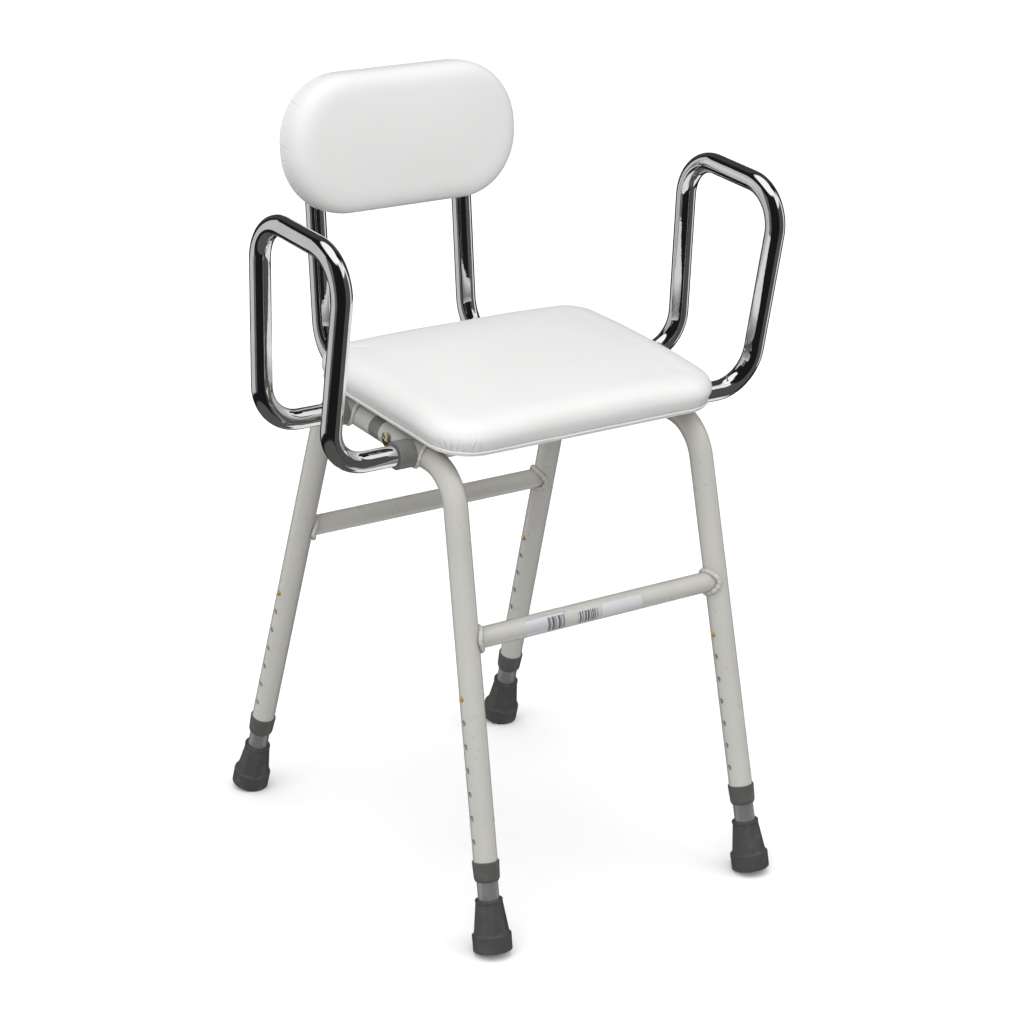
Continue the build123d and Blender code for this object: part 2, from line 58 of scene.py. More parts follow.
# ------------------------------------------------------------------ shader helpers
class Graph:
    """A material's node tree with short names for the nodes used here."""

    def __init__(self, name):
        self.mat = bpy.data.materials.new(name)
        self.mat.use_nodes = True
        self.tree = self.mat.node_tree
        self.shader = self.tree.nodes["Principled BSDF"]
        self.place = self.node("ShaderNodeTexCoord").outputs["Object"]

    def node(self, kind, **values):
        """A new node; each value goes to the input of that name, or else to the node's own setting."""
        made = self.tree.nodes.new(kind)
        for key, value in values.items():
            if key in made.inputs:
                made.inputs[key].default_value = value
            else:
                setattr(made, key, value)
        return made

    def link(self, source, target):
        self.tree.links.new(source, target)

    def set(self, **values):
        """Uniform values, straight on the shader's sockets."""
        for key, value in values.items():
            self.shader.inputs[key.replace("_", " ")].default_value = value

    def scaled(self, scale):
        """The object's coordinates, stretched by a scale for each axis."""
        made = self.node("ShaderNodeMapping")
        made.inputs["Scale"].default_value = scale
        self.link(self.place, made.inputs["Vector"])
        return made.outputs["Vector"]

    def noise(self, scale, detail=4.0, roughness=0.5, where=None):
        made = self.node("ShaderNodeTexNoise", Scale=scale, Detail=detail, Roughness=roughness)
        self.link(where or self.place, made.inputs["Vector"])
        return made.outputs["Fac"]

    def cells(self, scale):
        made = self.node("ShaderNodeTexVoronoi", Scale=scale)
        self.link(self.place, made.inputs["Vector"])
        return made.outputs["Distance"]

    def spread(self, value, low, high, to_low=0.0, to_high=1.0):
        """Maps low to high onto to_low to to_high, and holds it to that range."""
        made = self.node("ShaderNodeMapRange")
        for key, number in (("From Min", low), ("From Max", high), ("To Min", to_low), ("To Max", to_high)):
            made.inputs[key].default_value = number
        self.link(value, made.inputs["Value"])
        return made.outputs["Result"]

    def maths(self, operation, a, b):
        made = self.node("ShaderNodeMath", operation=operation)
        for socket, value in zip(made.inputs, (a, b)):
            if isinstance(value, (int, float)):
                socket.default_value = value
            else:
                self.link(value, socket)
        return made.outputs[0]

    def blend(self, factor, a, b):
        made = self.node("ShaderNodeMix", data_type="RGBA")
        self.link(factor, made.inputs["Factor"])
        for socket, value in ((made.inputs[6], a), (made.inputs[7], b)):
            if isinstance(value, tuple):
                socket.default_value = (*value, 1.0)
            else:
                self.link(value, socket)
        return made.outputs[2]

    def colour(self, value):
        self.link(value, self.shader.inputs["Base Color"])

    def rough(self, value):
        self.link(value, self.shader.inputs["Roughness"])

    def bump(self, height, strength, distance, under=None):
        """Bump for the shader, laid over the bump that was made before it if that is given."""
        made = self.node("ShaderNodeBump", Strength=strength, Distance=distance)
        self.link(height, made.inputs["Height"])
        if under is not None:
            self.link(under, made.inputs["Normal"])
        self.link(made.outputs["Normal"], self.shader.inputs["Normal"])
        return made.outputs["Normal"]


def grey(value):
    return (value, value, value)


# ------------------------------------------------------------------ materials
def paint_material():
    """Warm light grey powder coat: gloss over a fine orange peel, slightly dirtier in patches."""
    g = Graph("frame_paint")
    patches = g.spread(g.noise(9.0, 5.0, 0.6), 0.35, 0.7)
    specks = g.spread(g.noise(900.0, 2.0), 0.72, 0.8)
    base = g.blend(patches, (0.496, 0.490, 0.460), (0.460, 0.454, 0.425))
    g.colour(g.blend(specks, base, (0.42, 0.41, 0.38)))
    g.rough(g.spread(g.noise(60.0, 3.0), 0.3, 0.7, 0.26, 0.36))
    peel = g.bump(g.noise(420.0, 2.0), 0.10, 0.0004)
    g.bump(g.noise(45.0, 3.0), 0.03, 0.001, peel)
    g.set(Coat_Weight=0.45, Coat_Roughness=0.07, IOR=1.5)
    return g.mat


def chrome_material():
    """Bright plate, with faint draw lines and smears that break up its reflections."""
    g = Graph("chrome")
    smears = g.spread(g.noise(26.0, 6.0, 0.65), 0.4, 0.75)
    g.colour(g.blend(smears, (0.80, 0.80, 0.80), (0.72, 0.72, 0.71)))
    g.rough(g.spread(g.noise(38.0, 5.0, 0.6), 0.35, 0.75, 0.015, 0.065))
    fine = g.bump(g.noise(140.0, 4.0, 0.6), 0.030, 0.001)
    g.bump(g.noise(34.0, 3.0, 0.5), 0.085, 0.003, fine)
    g.set(Metallic=1.0)
    return g.mat


def zinc_material(name, light, dark, low, high, metallic):
    """Zinc-plated steel with cloudy patches and fine scratches along the tube."""
    g = Graph(name)
    clouds = g.spread(g.noise(34.0, 6.0, 0.7), 0.32, 0.7)
    lines = g.noise(1.0, 3.0, 0.6, g.scaled((1500.0, 1500.0, 30.0)))
    g.colour(g.blend(g.maths("MULTIPLY", clouds, lines), light, dark))
    g.rough(g.spread(lines, 0.3, 0.7, low, high))
    g.bump(lines, 0.10, 0.0002)
    g.set(Metallic=metallic)
    return g.mat


def brass_material():
    """Brass of the snap buttons, tarnished in small spots."""
    g = Graph("button_brass")
    tarnish = g.spread(g.noise(320.0, 5.0, 0.7), 0.35, 0.65)
    g.colour(g.blend(tarnish, (0.96, 0.62, 0.20), (0.62, 0.36, 0.10)))
    g.rough(g.spread(tarnish, 0.0, 1.0, 0.24, 0.5))
    g.bump(g.noise(900.0, 3.0), 0.12, 0.0002)
    g.set(Metallic=0.65)
    return g.mat


def gold_material():
    """Yellow zinc passivate, with the faint colour shifts of the film and painted shade in the cross recess.
    """
    g = Graph("gold_passivate")
    film = g.spread(g.noise(150.0, 4.0), 0.35, 0.65)
    plate = g.blend(film, (0.90, 0.82, 0.56), (0.70, 0.60, 0.36))
    # painted shade: the recess, below the dome of the head, is coloured near black where shade falls
    low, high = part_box("rail_screws")
    place = g.node("ShaderNodeSeparateXYZ")
    g.link(g.place, place.inputs[0])
    x, y, z = place.outputs

    def away(value, middle):
        """Squared distance from the middle of the head along one axis."""
        return g.maths("POWER", g.maths("ABSOLUTE", g.maths("SUBTRACT", value, middle), 0.0), 2.0)

    from_y, from_z = away(y, (low.y + high.y) / 2), away(z, (low.z + high.z) / 2)
    radius = (high.y - low.y) / 2
    drop = g.maths("MULTIPLY", g.maths("ADD", from_y, from_z), SCREW_DOME / radius ** 2)
    depth = g.maths("SUBTRACT", g.maths("SUBTRACT", high.x, drop), g.maths("ABSOLUTE", x, 0.0))
    # painted shade: points sunk below the dome are blended to near black
    g.colour(g.blend(g.spread(depth, 0.2 * MM, 0.5 * MM), plate, (0.03, 0.027, 0.02)))
    g.rough(g.spread(g.noise(400.0, 3.0), 0.3, 0.7, 0.14, 0.26))
    g.bump(g.noise(700.0, 3.0), 0.1, 0.0002)
    g.set(Metallic=1.0)
    return g.mat


def moulding_material(name, light, dark, roughness, grain, strength):
    """Moulded plastic or rubber: fine eroded grain, paler where it has been rubbed."""
    g = Graph(name)
    rubbed = g.spread(g.noise(55.0, 6.0, 0.7), 0.5, 0.78)
    g.colour(g.blend(rubbed, dark, light))
    g.rough(g.spread(g.noise(180.0, 3.0), 0.3, 0.7, roughness - 0.05, roughness + 0.06))
    fine = g.bump(g.noise(grain, 3.0, 0.6), strength, 0.0003)
    g.bump(g.noise(120.0, 3.0), 0.08, 0.0006, fine)
    return g.mat


def vinyl_material():
    """Smooth coated fabric: soft satin gloss, hair-fine pebble grain and slight creasing."""
    g = Graph("vinyl")
    clouds = g.spread(g.noise(7.0, 4.0, 0.55), 0.35, 0.7)
    g.colour(g.blend(clouds, (0.722, 0.721, 0.717), (0.700, 0.699, 0.694)))
    g.rough(g.spread(g.noise(90.0, 3.0), 0.3, 0.7, 0.40, 0.47))
    pebble = g.bump(g.cells(1300.0), 0.10, 0.00018)
    g.bump(g.noise(110.0, 4.0, 0.6), 0.05, 0.0008, pebble)
    g.set(Coat_Weight=0.06, Coat_Roughness=0.35, Specular_IOR_Level=0.4)
    return g.mat


def board_material():
    """Plywood face: stretched growth rings with pale and dark bands."""
    g = Graph("plywood")
    stretched = g.scaled((2.2, 30.0, 30.0))
    rings = g.node("ShaderNodeTexWave", Scale=1.3, Distortion=7.0, Detail=3.0)
    g.link(stretched, rings.inputs["Vector"])
    fibres = g.noise(9.0, 5.0, 0.7, g.scaled((9.0, 160.0, 160.0)))
    face = g.blend(rings.outputs["Fac"], (0.54, 0.38, 0.22), (0.40, 0.26, 0.14))
    g.colour(g.blend(g.spread(fibres, 0.35, 0.75), face, (0.33, 0.21, 0.11)))
    g.rough(g.spread(fibres, 0.3, 0.7, 0.62, 0.8))
    g.bump(fibres, 0.25, 0.0004)
    return g.mat


def label_material(name, dark, light, metallic, roughness):
    """Blank sticker with a soft mottle."""
    g = Graph(name)
    g.colour(g.blend(g.spread(g.noise(14.0, 2.0), 0.3, 0.7), dark, light))
    g.rough(g.spread(g.noise(90.0, 2.0), 0.3, 0.7, roughness, roughness + 0.1))
    g.bump(g.noise(160.0, 2.0), 0.012, 0.0002)
    g.set(Metallic=metallic)
    return g.mat


def bars_material():
    """Plain upright stripes of uneven width, dark on pale: stands for a printed code and holds none."""
    g = Graph("label_bars")
    stripes = g.spread(g.noise(1.0, 1.0, 0.5, g.scaled((840.0, 0.0, 0.0))), 0.46, 0.51)
    g.colour(g.blend(stripes, (0.58, 0.58, 0.60), (0.055, 0.055, 0.06)))
    g.rough(g.spread(g.noise(300.0, 3.0), 0.3, 0.7, 0.3, 0.4))
    return g.mat


PAINT = paint_material()
CHROME = chrome_material()
ZINC = zinc_material("zinc_plate", grey(0.40), grey(0.24), 0.28, 0.40, 0.65)
SPRING = zinc_material("spring_steel", grey(0.32), grey(0.16), 0.30, 0.42, 1.0)
BRASS = brass_material()
GOLD = gold_material()
RUBBER = moulding_material("rubber", (0.085, 0.084, 0.082), (0.052, 0.052, 0.051), 0.58, 1400.0, 0.22)
SATIN = (0.42, 1800.0, 0.12)        # roughness, grain and strength of the grain
PLASTIC = moulding_material("grey_plastic", (0.200, 0.199, 0.196), (0.155, 0.154, 0.151), *SATIN)
COLLAR = moulding_material("leg_collar_plastic", (0.118, 0.117, 0.114), (0.082, 0.081, 0.079), *SATIN)
VINYL = vinyl_material()
BOARD = board_material()
FOIL = label_material("label_foil", (0.60, 0.61, 0.64), (0.66, 0.67, 0.70), 0.3, 0.34)
PAPER = label_material("label_paper", (0.535, 0.535, 0.550), (0.575, 0.575, 0.592), 0.0, 0.35)
BARS = bars_material()

MATERIAL_OF_SLOT = {
    "frame_paint": PAINT, "chrome": CHROME, "zinc_plate": ZINC, "spring_steel": SPRING, "brass": BRASS,
    "gold_passivate": GOLD, "rubber": RUBBER, "grey_plastic": PLASTIC, "vinyl": VINYL, "plywood": BOARD,
}
for entry in frame["record"]["subparts"]:
    node = NODES[entry["node"]]
    leg_collar = entry["node"].startswith("leg_collar")
    node.data.materials.clear()
    node.data.materials.append(COLLAR if leg_collar else MATERIAL_OF_SLOT[entry["material_slot"]])


# ------------------------------------------------------------------ padded pieces
SEAT_TURN = math.radians(4.4)       # the seat slopes down to the front
BACK_TURN = math.radians(-6.8)      # the back leans to the rear
SIM_FRAMES = 20
FOAM_PRESSURE = 1.2
CLOTH_SMOOTHING = 14                # passes that even out the simulated moves
GRID_PASSES = 900                   # passes that relax the grid inside an outline
SEAM_BLEND = 12 * MM                # height above the seam over which the cover reaches its full width
SHOULDER_DEPTH = 0.45               # raised shoulders beside a pinched fold, as a share of its depth
SHOULDER_WIDTH = 2.6                # and as a multiple of its width
FOLD_LEAN = 0.06 / (10 * MM)        # most that a fold turns round its corner, in radians per metre of height
FOLD_FADE = 1.5 * MM                # a fold dies out over this depth below the seam
FOLD_FROM, FOLD_FULL = 0.45, 0.75   # folds begin and are full at these shares of the corner's radius


def turned_box(node, turn):
    """Lowest and highest corner of a CAD node in axes turned about X."""
    points = np.array([v.co for v in NODES[node].data.vertices]) @ np.array(Matrix.Rotation(turn, 3, "X"))
    return points.min(0), points.max(0)


def smooth(x):
    """0 below 0, 1 above 1, with an even ease between them."""
    x = np.clip(x, 0.0, 1.0)
    return x * x * (3.0 - 2.0 * x)


def rounded_outline(half_x, low_y, high_y, radii, steps):
    """Anticlockwise loop of points round a rectangle with rounded corners, dense in the corners.

    It starts in the middle of the front right corner, so that a grid can be wrapped in it. The steps are
    three counts: for each corner, for each straight stretch along X, and for each along Y.
    """
    corner_steps, *straight_steps = steps
    arcs = []
    for k, (sx, sy) in enumerate(((-1, -1), (1, -1), (1, 1), (-1, 1))):
        r = radii[k]
        centre = (sx * (half_x - r), low_y + r if sy < 0 else high_y - r)
        angles = np.radians(180 + 90 * k + np.linspace(0, 90, corner_steps + 1))
        arcs.append(np.array(centre) + r * np.stack([np.cos(angles), np.sin(angles)], 1))
    stretches = []
    for k, arc in enumerate(arcs):
        straight = np.linspace(arc[-1], arcs[(k + 1) % 4][0], straight_steps[k % 2] + 1)
        stretches += [arc, straight[1:-1]]
    return np.roll(np.concatenate(stretches), -(corner_steps // 2), axis=0)


def inward(loop):
    """Unit normals of an anticlockwise loop, pointing in."""
    along = np.roll(loop, -1, axis=0) - np.roll(loop, 1, axis=0)
    along /= np.linalg.norm(along, axis=1)[:, None]
    return np.stack([-along[:, 1], along[:, 0]], 1)


def grid_in(loop, nx, ny):
    """Grid of (ny + 1, nx + 1) points relaxed inside a loop of 2 (nx + ny) points."""
    grid = np.zeros((ny + 1, nx + 1, 2))
    # the loop gives the edges, and the first guess for the rest is blended from them
    side = np.split(loop, np.cumsum([nx, ny, nx]))
    grid[0, :-1], grid[:-1, -1] = side[0], side[1]
    grid[-1, :0:-1], grid[:0:-1, 0] = side[2], side[3]
    s, t = np.linspace(0, 1, nx + 1), np.linspace(0, 1, ny + 1)[:, None]
    for c in range(2):
        g = grid[..., c]
        g[1:-1, 1:-1] = ((1 - t) * g[0] + t * g[-1] + (1 - s) * g[:, :1] + s * g[:, -1:]
                         - (1 - t) * ((1 - s) * g[0, 0] + s * g[0, -1])
                         - t * ((1 - s) * g[-1, 0] + s * g[-1, -1]))[1:-1, 1:-1]
    for _ in range(GRID_PASSES):
        grid[1:-1, 1:-1] = (grid[:-2, 1:-1] + grid[2:, 1:-1] + grid[1:-1, :-2] + grid[1:-1, 2:]) / 4
    return grid


def pad_shell(loop, steps, rows, crown):
    """Closed pad: a relaxed grid on top, rows of (inset, height) round the sides, and a grid below.

    The loop is a rounded outline with these steps. The grid on top rises by crown towards its middle.
    Points are (plan x, plan y, height).
    """
    corner_steps, x_steps, y_steps = steps
    nx, ny = corner_steps + x_steps, corner_steps + y_steps
    normals = inward(loop)
    count = len(loop)
    points, faces, rings = [], [], []
    for inset, height in rows:
        ring = loop + normals * inset
        rings.append(len(points))
        points.extend([(x, y, height) for x, y in ring])
    for a, b in zip(rings, rings[1:]):
        for i in range(count):
            j = (i + 1) % count
            faces.append((a + i, b + i, b + j, a + j))
    for end, (inset, height) in ((0, rows[0]), (-1, rows[-1])):
        grid = grid_in(loop + normals * inset, nx, ny)
        index = np.full((ny + 1, nx + 1), -1)
        ring = rings[end]
        edge = [(0, i) for i in range(nx)] + [(j, nx) for j in range(ny)]
        edge += [(ny, nx - i) for i in range(nx)] + [(ny - j, 0) for j in range(ny)]
        for k, (j, i) in enumerate(edge):
            index[j, i] = ring + k
        for j in range(1, ny):
            for i in range(1, nx):
                share = 4 * (i / nx) * (1 - i / nx) * 4 * (j / ny) * (1 - j / ny)
                rise = crown * float(smooth(share)) if end == 0 else 0.0
                index[j, i] = len(points)
                points.append((*grid[j, i], height + rise))
        for j in range(ny):
            for i in range(nx):
                quad = (index[j, i], index[j, i + 1], index[j + 1, i + 1], index[j + 1, i])
                faces.append(quad if end == 0 else quad[::-1])
    return np.array(points), faces


def mesh_object(name, points, faces, material):
    """Smooth-shaded mesh of one material, linked to the scene."""
    mesh = bpy.data.meshes.new(name)
    mesh.from_pydata([tuple(p) for p in points], [], [tuple(int(i) for i in f) for f in faces])
    mesh.materials.append(material)
    mesh.polygons.foreach_set("use_smooth", [True] * len(mesh.polygons))
    mesh.update()
    made = bpy.data.objects.new(name, mesh)
    bpy.context.scene.collection.objects.link(made)
    return made


def read(obj):
    """The mesh's points as an array."""
    co = np.zeros(len(obj.data.vertices) * 3)
    obj.data.vertices.foreach_get("co", co)
    return co.reshape(-1, 3)


def write(obj, points):
    """Moves the mesh's points to those of an array."""
    obj.data.vertices.foreach_set("co", np.asarray(points).ravel())
    obj.data.update()


def inflate(obj, held, rise):
    """Cloth simulation of a pad cover under foam pressure; held is a mask of the points that stay put.

    The moves are smoothed and then scaled so that the largest is no more than rise.
    """
    start = read(obj)
    group = obj.vertex_groups.new(name="held")
    group.add([int(i) for i in np.nonzero(held)[0]], 1.0, "REPLACE")
    cloth = obj.modifiers.new("cloth", "CLOTH")
    s = cloth.settings
    s.quality = 6
    s.mass = 0.35
    s.air_damping = 2.0
    s.tension_stiffness = s.compression_stiffness = 28.0
    s.shear_stiffness = 14.0
    s.bending_stiffness = 1.5
    s.use_pressure = True
    s.uniform_pressure_force = FOAM_PRESSURE
    s.vertex_group_mass = "held"
    s.effector_weights.gravity = 0.0
    cloth.point_cache.frame_start, cloth.point_cache.frame_end = 1, SIM_FRAMES
    scene = bpy.context.scene
    for number in range(1, SIM_FRAMES + 1):
        scene.frame_set(number)
    evaluated = obj.evaluated_get(bpy.context.evaluated_depsgraph_get())
    end = np.array([v.co for v in evaluated.data.vertices])
    obj.modifiers.remove(cloth)
    obj.vertex_groups.clear()
    scene.frame_set(1)
    move = end - start
    edges = np.array([e.vertices[:] for e in obj.data.edges])
    neighbours = np.bincount(edges.ravel(), minlength=len(start))[:, None]
    for _ in range(CLOTH_SMOOTHING):
        total = np.zeros_like(move)
        np.add.at(total, edges[:, 0], move[edges[:, 1]])
        np.add.at(total, edges[:, 1], move[edges[:, 0]])
        move = np.where(held[:, None], move, total / neighbours)
    far = np.linalg.norm(move, axis=1).max()
    write(obj, start + move * min(1.0, rise / far))


def subdivide(obj, levels):
    """Applies Catmull-Clark subdivision to the mesh."""
    modifier = obj.modifiers.new("subdivide", "SUBSURF")
    modifier.levels = modifier.render_levels = levels
    evaluated = obj.evaluated_get(bpy.context.evaluated_depsgraph_get())
    mesh = bpy.data.meshes.new_from_object(evaluated)
    obj.modifiers.remove(modifier)
    old, obj.data = obj.data, mesh
    bpy.data.meshes.remove(old)
    mesh.polygons.foreach_set("use_smooth", [True] * len(mesh.polygons))


def vertex_normals(obj):
    normals = np.zeros(len(obj.data.vertices) * 3)
    obj.data.vertices.foreach_get("normal", normals)
    return normals.reshape(-1, 3)


def fit_outline(points, seam, low, high, spare):
    """Stretches a pad crosswise until, above its seam, it stands spare outside the plan from low to high."""
    share = smooth((points[:, 2] - seam) / SEAM_BLEND)
    for axis in (0, 1):
        middle = (low[axis] + high[axis]) / 2
        widest = np.abs(points[:, axis] - middle).max()
        wanted = (high[axis] - low[axis]) / 2 + spare
        points[:, axis] = middle + (points[:, axis] - middle) * (1 + share * (wanted / widest - 1))


def gathers(rng, first, last, count, reach, depth):
    """Folds between two angles in degrees, as (angle, reach up the side, half width, depth)."""
    first, last = math.radians(first), math.radians(last)
    folds = []
    for i in range(count):
        angle = first + (last - first) * (i + 0.5 + rng.uniform(-0.28, 0.28)) / count
        fold_reach = reach * rng.uniform(0.45, 1.0)
        half_width = rng.uniform(0.8, 1.3) * MM
        folds.append((angle, fold_reach, half_width, depth * rng.uniform(0.4, 1.0)))
    return folds


def fold_push(plan, height, seam, centre, radius, folds):
    """How far each point is pushed out by the folds round one corner.

    A fold leans a little, fades upwards over its reach, and is kept to the outside of the pad.
    """
    offset = plan - np.array(centre)
    angle = np.arctan2(offset[:, 1], offset[:, 0])
    far = np.linalg.norm(offset, axis=1)
    push = np.zeros(len(plan))
    for where, reach, width, depth in folds:
        lean = FOLD_LEAN * math.sin(37.0 * where) * (height - seam)
        turn = (angle - where - lean + math.pi) % (2 * math.pi) - math.pi
        gap = turn * radius / width
        profile = SHOULDER_DEPTH * np.exp(-(gap / SHOULDER_WIDTH) ** 2) - np.exp(-gap ** 2)
        up = np.clip((height - seam) / reach, 0.0, 1.0)
        push += depth * profile * (1 - up) * np.exp(-np.clip((seam - height) / FOLD_FADE, 0, 9))
    return push * smooth((far / radius - FOLD_FROM) / (FOLD_FULL - FOLD_FROM))


def to_world(points, turn):
    """From a pad's own axes to the row's frame."""
    return np.asarray(points) @ np.array(Matrix.Rotation(turn, 3, "X")).T


# seat: plan is (x, along the seat), height is square to it
seat_low, seat_high = turned_box("seat_pad", SEAT_TURN)
SEAT_BASE, SEAT_TOP = seat_low[2], seat_high[2]
SEAT_SEAM = SEAT_BASE + 4.8 * MM
SEAT_FRONT_R, SEAT_REAR_R = 47 * MM, 40 * MM
SEAT_STEPS = (28, 34, 24)
SEAT_CROWN = 2.0 * MM
SEAT_RISE = 5.5 * MM                # most that the foam lifts the cover
SEAT_SPARE = 0.6 * MM               # the cover stands this far outside the CAD outline
CORNER_DROP = 5.5 * MM              # the foam is this much thinner at the front corners than elsewhere
MIDDLE_RISE = 1.0 * MM              # and all of it is this much fuller than the CAD pad
REAR_SHARE = 0.55                   # share of the corner drop at the rear
THIN_FROM, THIN_TO = 0.22, 0.94     # the drop starts and ends at these products of the reaches to the edges
UNEVENNESS = 0.35 * MM              # slight waves of the cover round the sides
BOARD_GAP = 0.3 * MM                # between a board and its cover
seat_board_high = turned_box("seat_board", SEAT_TURN)[1]
BOARD_TOP = seat_board_high[2] + BOARD_GAP
BOARD_EDGE = seat_high[0] - seat_board_high[0]


def seat_loop():
    """Outline of the seat, with rounder corners at the front."""
    radii = [SEAT_FRONT_R, SEAT_FRONT_R, SEAT_REAR_R, SEAT_REAR_R]
    return rounded_outline(seat_high[0], seat_low[1], seat_high[1], radii, SEAT_STEPS)


def seat_rows():
    """(inset, height) of each row: down the side, round the seam and under, then up to the board."""
    side = [(32.0, -0.9), (24.0, -1.4), (17.0, -2.5), (11.0, -4.5), (6.2, -7.6), (3.0, -11.8),
            (1.2, -16.4), (0.8, -20.8), (1.5, -25.6), (3.0, -30.4)]
    seam = [(4.6, 1.4), (4.7, 0.0), (4.1, -1.4)]
    under = [(3.8, 1.4), (4.8, 0.5), (7.4, 0.3), (12.0, 0.3)]
    rows = [(inset * MM, SEAT_TOP + height * MM) for inset, height in side]
    rows += [(inset * MM, SEAT_SEAM + height * MM) for inset, height in seam]
    rows += [(inset * MM, SEAT_BASE + height * MM) for inset, height in under]
    rows += [(BOARD_EDGE - 1.0 * MM, SEAT_BASE + 0.4 * MM), (BOARD_EDGE - BOARD_GAP, SEAT_BASE + 1.4 * MM),
             (BOARD_EDGE - BOARD_GAP, BOARD_TOP - 1.0 * MM), (BOARD_EDGE + 1.0 * MM, BOARD_TOP)]
    return rows


def thin_corners(points):
    """Lowers the corners of the seat and lifts the rest of it, most at the top and nothing at the seam."""
    reach_x = np.abs(points[:, 0]) / seat_high[0]
    reach_y = np.abs(points[:, 1] - (seat_low[1] + seat_high[1]) / 2) / ((seat_high[1] - seat_low[1]) / 2)
    corner = smooth((reach_x * reach_y - THIN_FROM) / (THIN_TO - THIN_FROM))
    corner *= np.where(points[:, 1] > 0, REAR_SHARE, 1.0)
    share = np.clip((points[:, 2] - SEAT_SEAM) / (SEAT_TOP - SEAT_SEAM), 0.0, 1.0)
    points[:, 2] -= (CORNER_DROP * corner - MIDDLE_RISE) * share


def make_seat():
    """Seat cover: shell, foam pressure, outline, then the gathers sewn in at its corners."""
    points, faces = pad_shell(seat_loop(), SEAT_STEPS, seat_rows(), SEAT_CROWN)
    thin_corners(points)
    seat = mesh_object("seat_cushion", points, faces, VINYL)
    held = points[:, 2] < SEAT_SEAM + 1.0 * MM
    inflate(seat, held, SEAT_RISE)
    co = read(seat)
    fit_outline(co, SEAT_SEAM, seat_low[:2], seat_high[:2], SEAT_SPARE)
    write(seat, co)
    subdivide(seat, 2)
    co, normals = read(seat), vertex_normals(seat)
    rng = np.random.default_rng(11)
    # of each corner: first and last angle, number of folds, reach up the side, depth
    corner_folds = {
        (-1, -1): gathers(rng, 192, 262, 16, 22 * MM, 3.2 * MM),
        (1, -1): gathers(rng, 284, 350, 7, 20 * MM, 2.4 * MM),
        (1, 1): gathers(rng, 14, 76, 8, 16 * MM, 1.1 * MM),
        (-1, 1): gathers(rng, 104, 166, 8, 16 * MM, 1.1 * MM),
    }
    push = np.zeros(len(co))
    for (sx, sy), folds in corner_folds.items():
        r = SEAT_FRONT_R if sy < 0 else SEAT_REAR_R
        centre = (sx * (seat_high[0] - r), seat_low[1] + r if sy < 0 else seat_high[1] - r)
        near = (np.sign(co[:, 0] - centre[0]) == sx) & (np.sign(co[:, 1] - centre[1]) == sy)
        push += near * fold_push(co[:, :2], co[:, 2], SEAT_SEAM, centre, r, folds)
    on_side = smooth((co[:, 2] - SEAT_SEAM) / (8 * MM)) * smooth((SEAT_TOP - 6 * MM - co[:, 2]) / (10 * MM))
    wave = np.sin(co[:, 0] * 61.0 + 1.3) * 0.5 + np.sin(co[:, 1] * 83.0 + 0.4) * 0.5
    push += on_side * wave * UNEVENNESS
    write(seat, to_world(co + normals * push[:, None], SEAT_TURN))
    return seat


def tube_faces(rings, sides):
    """Quads of a closed tube whose points lie in rings of so many sides."""
    faces = []
    for i in range(rings):
        j = (i + 1) % rings
        for k in range(sides):
            m = (k + 1) % sides
            faces.append((i * sides + k, j * sides + k, j * sides + m, i * sides + m))
    return faces


def piping(name, loop, height, turn, inset, radius, wobble):
    """Covered cord sewn round an edge: a closed tube following the loop."""
    normals = inward(loop)
    phase = np.linspace(0, 2 * math.pi, len(loop), endpoint=False)
    lift = np.sin(phase * 23.0) + 0.6 * np.sin(phase * 41.0 + 1.0) + 0.8 * np.sin(phase * 67.0 + 2.0)
    line = np.concatenate([loop + normals * inset, (height + wobble * lift)[:, None]], 1)
    points, sides = [], 10
    for p, normal in zip(line, normals):
        out = np.array([*(-normal), 0.0])
        for k in range(sides):
            a = 2 * math.pi * k / sides
            points.append(p + radius * (out * math.cos(a) + np.array([0, 0, 1]) * math.sin(a)))
    return mesh_object(name, to_world(points, turn), tube_faces(len(line), sides), VINYL)


seat = make_seat()
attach(seat, "frame")
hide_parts("seat_pad")
seat_piping = piping("seat_piping", seat_loop(), SEAT_SEAM, SEAT_TURN,
                     inset=3.0 * MM, radius=1.25 * MM, wobble=0.17 * MM)
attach(seat_piping, "frame")


# back: plan is (x, up the back), height is forwards
back_low, back_high = turned_box("back_pad", BACK_TURN)
back_board_low = turned_box("back_board", BACK_TURN)[0]
BACK_REAR, BACK_FRONT = -back_high[1], -back_low[1]
BACK_BOARD_FRONT = -back_board_low[1] + BOARD_GAP
BACK_R = (back_high[2] - back_low[2]) / 2
BACK_SEAM = BACK_REAR + 4.0 * MM
BACK_STEPS = (40, 20, 2)
BACK_CROWN = 1.0 * MM
BACK_RISE = 5.0 * MM                # most that the foam lifts the cover
BACK_SPARE = 1.5 * MM               # the cover stands this far outside the CAD outline


def back_loop():
    """Nearly a stadium: its round ends are pulled slightly square."""
    return rounded_outline(back_high[0] + BACK_SPARE, back_low[2] - BACK_SPARE, back_high[2] + BACK_SPARE,
                           [BACK_R - 2 * MM] * 4, BACK_STEPS)


def back_world(points):
    """From (x, up the back, forwards) to the row's frame."""
    points = np.asarray(points)
    return to_world(np.stack([points[:, 0], -points[:, 2], points[:, 1]], 1), BACK_TURN)


